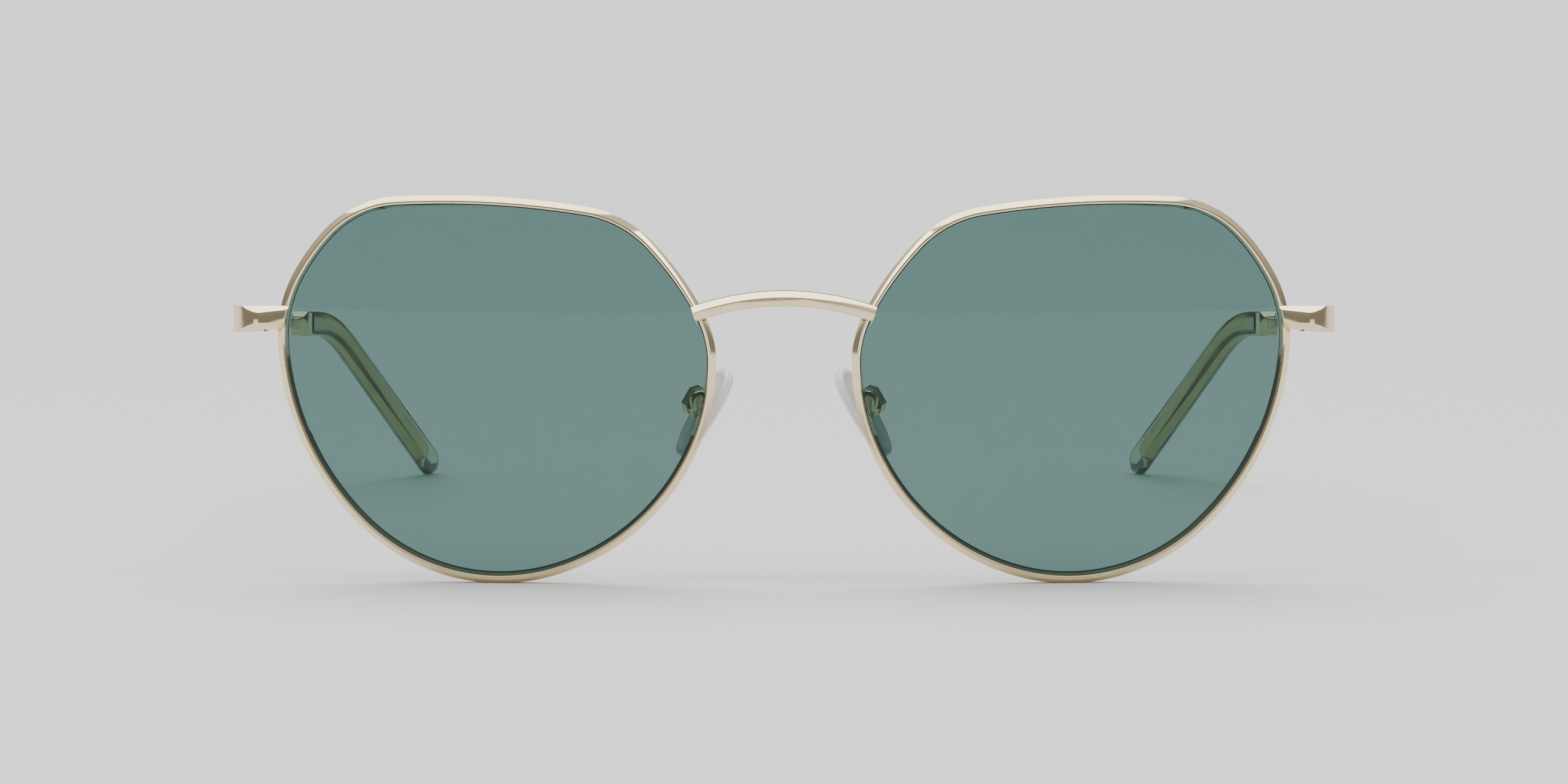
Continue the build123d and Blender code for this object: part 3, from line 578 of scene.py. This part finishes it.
def temple_rings():
    """The whole temple's metal, from the hinge to the end of the core."""
    start, neck = BUTT_GAP / 2, (FERRULE[0] - 2 * NECK_INSET, FERRULE[1] - 2 * NECK_INSET)
    rings = [
        bar_ring(along(bar_plane, start),
                 BAR_THICKNESS - 2 * END_BREAK, ROOT_HEIGHT - 2 * END_BREAK, BAR_EDGE),
        bar_ring(along(bar_plane, start + END_BREAK_LENGTH), BAR_THICKNESS, ROOT_HEIGHT, BAR_EDGE),
    ]
    for k in range(TAPER_STEPS + 1):
        height = ROOT_HEIGHT + (BAR_HEIGHT - ROOT_HEIGHT) * ease(k / TAPER_STEPS)
        place = along(bar_plane, ROOT_LENGTH + TAPER_LENGTH * k / TAPER_STEPS)
        rings.append(bar_ring(place, BAR_THICKNESS, height, BAR_EDGE))
    rings.append(bar_ring(along(bar_plane, STRAIGHT - BEND_LEAD), BAR_THICKNESS, BAR_HEIGHT, BAR_EDGE))
    for k in range(SIDE_STEPS + 1):
        place = bent(along(bar_plane, STRAIGHT), SIDE_BEND, k / SIDE_STEPS)
        rings.append(bar_ring(place, BAR_THICKNESS, BAR_HEIGHT, BAR_EDGE))
    for k in range(1, FLARE_STEPS + 1):
        grow = (k / FLARE_STEPS) ** FLARE_POWER
        rings.append(bar_ring(along(flare_plane, FLARE_LENGTH * k / FLARE_STEPS),
                              BAR_THICKNESS + grow * (FERRULE[0] - BAR_THICKNESS),
                              BAR_HEIGHT + grow * (FERRULE[1] - BAR_HEIGHT), BAR_EDGE))
    rings += [
        bar_ring(along(flare_plane, FERRULE_LENGTH - END_BREAK_LENGTH), *FERRULE, BAR_EDGE),
        bar_ring(neck_plane, FERRULE[0] - 2 * END_BREAK, FERRULE[1] - 2 * END_BREAK, BAR_EDGE),
        bar_ring(neck_plane, *neck, BAR_EDGE),
        bar_ring(tip_plane, *neck, BAR_EDGE),
        bar_ring(tip_plane, *CORE, CORE_EDGE),
    ]
    return rings + core_rings()


temple = smooth(swept_bar("temple", temple_rings()), TEMPLE_CREASE)
temple.materials.append(champagne_gold)
fit_pair("temple_bar", temple, "{}_temple", ["temple"])


# Temple tips: clear grey-olive acetate moulded round the core, turned down over the ear and
# rounded at the end.
def clear_plastic(name, tone, second_tone, ior, roughness, clearness):
    """A clear or milky plastic with soft clouding; roughness runs from a lowest to a highest."""
    material, nodes, links, shader, place = new_material(name)
    clouds = spread(nodes, links, noise(nodes, links, place, 120, 3), 0, 1)
    links.new(two_tone(nodes, links, clouds, tone, second_tone), shader.inputs["Base Color"])
    fine = noise(nodes, links, place, 1400, 2)
    links.new(spread(nodes, links, fine, *roughness), shader.inputs["Roughness"])
    shader.inputs["IOR"].default_value = ior
    shader.inputs["Transmission Weight"].default_value = clearness
    return material


ACETATE = (0.78, 0.82, 0.66)
ACETATE_DEEP = (0.70, 0.76, 0.60)
clear_acetate = clear_plastic("clear_olive_acetate", ACETATE, ACETATE_DEEP, 1.48, (0.02, 0.05), 0.95)
TIP = (2.6, 3.4)           # thickness and height
TIP_END = (2.2, 4.2)
TIP_EDGE = 0.95
TIP_HEAD_STEPS = 8
TIP_EAR_STEPS = 20
TIP_RUN_STEPS = 12
MOUTH_GAP = 0.02           # between the neck and the tip
MOUTH_BREAK = 0.12         # length of the softened edge round the tip's mouth
MOUTH_INSET = 0.25         # how much smaller the mouth is for it
END_ROUND = 2.1            # the end is a half round from the side
END_STEPS = 10
END_STOP = 10.3            # a little over the steps, so the last ring stays open
END_FULLNESS = 0.35        # the end stays nearly as thick as the tip
END_EDGE_SHARE = 0.48
TIP_CREASE = 60.0


def tip_rings():
    """The tip's skin: even to the ear, then broader and flatter to a round end."""
    rings = [bar_ring(along(tip_plane, MOUTH_GAP),
                      TIP[0] - MOUTH_INSET, TIP[1] - MOUTH_INSET, TIP_EDGE - MOUTH_BREAK),
             bar_ring(along(tip_plane, MOUTH_GAP + MOUTH_BREAK), *TIP, TIP_EDGE)]
    planes = [bent(tip_plane, HEAD_BEND, k / TIP_HEAD_STEPS) for k in range(1, TIP_HEAD_STEPS + 1)]
    planes += [bent(ear_plane, EAR_BEND, k / TIP_EAR_STEPS) for k in range(1, TIP_EAR_STEPS + 1)]
    rings += [bar_ring(plane, *TIP, TIP_EDGE) for plane in planes]
    for k in range(1, TIP_RUN_STEPS + 1):
        share = k / TIP_RUN_STEPS * (1 - END_ROUND / TIP_STRAIGHT)
        size = [a + (b - a) * share for a, b in zip(TIP, TIP_END)]
        rings.append(bar_ring(along(run_plane, TIP_STRAIGHT * share), *size, TIP_EDGE))
    for k in range(1, END_STEPS + 1):
        turn = radians(90 * k / END_STOP)
        thickness, height = TIP_END[0] * cos(turn) ** END_FULLNESS, TIP_END[1] * cos(turn)
        edge = min(TIP_EDGE, thickness * END_EDGE_SHARE, height * END_EDGE_SHARE)
        place = along(run_plane, TIP_STRAIGHT - END_ROUND * (1 - sin(turn)))
        rings.append(bar_ring(place, thickness, height, edge))
    return rings


tip = smooth(swept_bar("tip", tip_rings()), TIP_CREASE)
tip.materials.append(clear_acetate)
fit_pair("acetate_tip", tip, "{}_temple", ["temple_tip"])


# Pad arms and boxes: round wire soldered to the back of each rim and to a small cup that holds
# the pad's lug on a screw.
fit_machined("wire_pad_arm", "pad_arm", "front", champagne_gold)
fit_machined("cup_pad_box", "pad_box", "front", champagne_gold)


# Nose pads: clear silicone moulded round a hard insert, each rocking on its screw.
INSERT = (0.86, 0.80, 0.70)
INSERT_DEEP = (0.82, 0.76, 0.66)
SILICONE = (0.97, 0.97, 0.98)
SILICONE_DEEP = (0.93, 0.94, 0.96)
insert_plastic = clear_plastic("hard_insert_plastic", INSERT, INSERT_DEEP, 1.5, (0.2, 0.3), 0.2)
clear_silicone = clear_plastic("clear_silicone", SILICONE, SILICONE_DEEP, 1.41, (0.12, 0.2), 0.1)
milk = clear_silicone.node_tree.nodes["Principled BSDF"]
milk.inputs["Subsurface Weight"].default_value = 0.5
milk.inputs["Subsurface Scale"].default_value = 0.002
fit_machined("lugged_insert", "pad_insert", "{}_pad", insert_plastic)
PAD_CENTRE = Vector((NOSE_GAP / 2 + 0.1, 8.0, -2.65))
PAD_LEAN = radians(29.6)   # top towards the nose
PAD_SPLAY = radians(20.0)  # opened towards the face
PAD_SIZE = (7.0, 12.4)
PAD_THICKNESS = 1.3
PAD_SQUARENESS = 2.4       # power of the oval; 2 would be an ellipse
PAD_FLARE = 0.10           # broader at the top
PAD_STEPS = 96
PAD_CREASE = 50.0
PAD_PROFILE = [            # share of the outline, and lift as a share of the thickness
    (0.30, -0.46), (0.60, -0.45), (0.78, -0.42), (0.90, -0.48), (0.97, -0.40), (1.0, -0.22),
    (1.0, -0.04), (0.975, 0.02), (0.975, 0.08), (0.99, 0.14), (0.99, 0.32), (0.96, 0.44),
    (0.91, 0.50), (0.86, 0.48), (0.82, 0.36), (0.76, 0.30), (0.4, 0.30),
]


def pad_mesh():
    """A rounded-off oval pad, broader at the top, with a raised line round both faces."""
    out = Vector((cos(PAD_LEAN), 0, sin(PAD_LEAN)))
    facing = out * cos(PAD_SPLAY) - Vector((0, sin(PAD_SPLAY), 0))
    across = out * sin(PAD_SPLAY) + Vector((0, cos(PAD_SPLAY), 0))
    axes = Matrix((across, facing.cross(across), facing)).transposed().to_4x4()
    plane = WORN @ Matrix.Translation(PAD_CENTRE) @ axes
    outline = []
    for step in range(PAD_STEPS):
        turn = 2 * pi * step / PAD_STEPS
        corner = abs(cos(turn)) ** PAD_SQUARENESS + abs(sin(turn)) ** PAD_SQUARENESS
        flat = 1 / corner ** (1 / PAD_SQUARENESS)
        broad = 1 + PAD_FLARE * sin(turn)
        outline.append((PAD_SIZE[0] / 2 * flat * cos(turn) * broad,
                        PAD_SIZE[1] / 2 * flat * sin(turn)))
    points = [plane @ Vector((x * share, y * share, lift * PAD_THICKNESS))
              for share, lift in PAD_PROFILE for x, y in outline]
    rings = [points[k:k + PAD_STEPS] for k in range(0, len(points), PAD_STEPS)]
    return swept_bar("pad", rings)


pad = smooth(pad_mesh(), PAD_CREASE)
pad.materials.append(clear_silicone)
fit_pair("silicone_pad", pad, "{}_pad", ["nose_pad"])


# Studio: a plain pale floor under soft lamps, seen from the front a little above level.
FLOOR_SIZE = 24.0
FLOOR_PALE = (0.80, 0.80, 0.80)
FLOOR_PALER = (0.82, 0.82, 0.82)
SOFTBOX_SIZE = (0.12, 0.5)
SOFTBOX_POWER = 0.8
DAYLIGHT_POWER = 3.3
DAYLIGHT_SPREAD = 70
SKY_LOW = (0.32, 0.15)     # brightness, and height up to which it holds
SKY_HIGH = (1.0, 0.75)     # brightness, and height from which it holds
SKY_STRENGTH = 0.8
CAMERA_RISE = 0.22         # above the line of the temples
CAMERA_AWAY = 0.88
CAMERA_LENS = 160.6

floor_mesh = bpy.data.meshes.new("floor")
half = FLOOR_SIZE / 2
corners = [(-half, -half, 0), (half, -half, 0), (half, half, 0), (-half, half, 0)]
floor_mesh.from_pydata(corners, [], [(0, 1, 2, 3)])
floor = bpy.data.objects.new("floor", floor_mesh)
bpy.context.scene.collection.objects.link(floor)
floor_paint, nodes, links, shader, place = new_material("pale_floor")
clouds = noise(nodes, links, place, 3, 2)
links.new(two_tone(nodes, links, clouds, FLOOR_PALE, FLOOR_PALER), shader.inputs["Base Color"])
shader.inputs["Roughness"].default_value = 0.8
floor_mesh.materials.append(floor_paint)

target = WORN @ Vector((0, 0, 0))


def softbox(name, place):
    """A tall soft lamp turned to the object."""
    lamp = bpy.data.lights.new(name, "AREA")
    lamp.shape = "RECTANGLE"
    lamp.size, lamp.size_y = SOFTBOX_SIZE
    lamp.energy = SOFTBOX_POWER
    holder = bpy.data.objects.new(name, lamp)
    holder.location = place
    holder.rotation_euler = (target - holder.location).to_track_quat("-Z", "Y").to_euler()
    bpy.context.scene.collection.objects.link(holder)


softbox("key", Vector((-0.6, -0.3, 0.5)))
softbox("fill", Vector((0.6, -0.3, 0.5)))

daylight = bpy.data.lights.new("daylight", "SUN")
daylight.energy = DAYLIGHT_POWER
daylight.angle = radians(DAYLIGHT_SPREAD)
sun = bpy.data.objects.new("daylight", daylight)
sun.rotation_euler = (radians(-14), radians(-8), 0)
bpy.context.scene.collection.objects.link(sun)

world = bpy.data.worlds.new("studio")
world.use_nodes = True
nodes, links = world.node_tree.nodes, world.node_tree.links
ahead = nodes.new("ShaderNodeTexCoord")
height = nodes.new("ShaderNodeSeparateXYZ")
links.new(ahead.outputs["Generated"], height.inputs["Vector"])
glow = nodes.new("ShaderNodeValToRGB")
for stop, (light, level) in zip(glow.color_ramp.elements, (SKY_LOW, SKY_HIGH)):
    stop.color = (light, light, light, 1)
    stop.position = level
links.new(height.outputs["Z"], glow.inputs["Fac"])
links.new(glow.outputs["Color"], nodes["Background"].inputs["Color"])
nodes["Background"].inputs["Strength"].default_value = SKY_STRENGTH
bpy.context.scene.world = world

camera = bpy.data.objects.new("camera", bpy.data.cameras.new("camera"))
camera.data.lens = CAMERA_LENS
camera.data.sensor_width = 36
camera.data.clip_start = 0.01
rise = atan2(upright.y, upright.z) + radians(CAMERA_RISE)
camera.location = target + CAMERA_AWAY * Vector((0, -cos(rise), sin(rise)))
camera.rotation_euler = (target - camera.location).to_track_quat("-Z", "Y").to_euler()
bpy.context.scene.collection.objects.link(camera)
bpy.context.scene.camera = camera
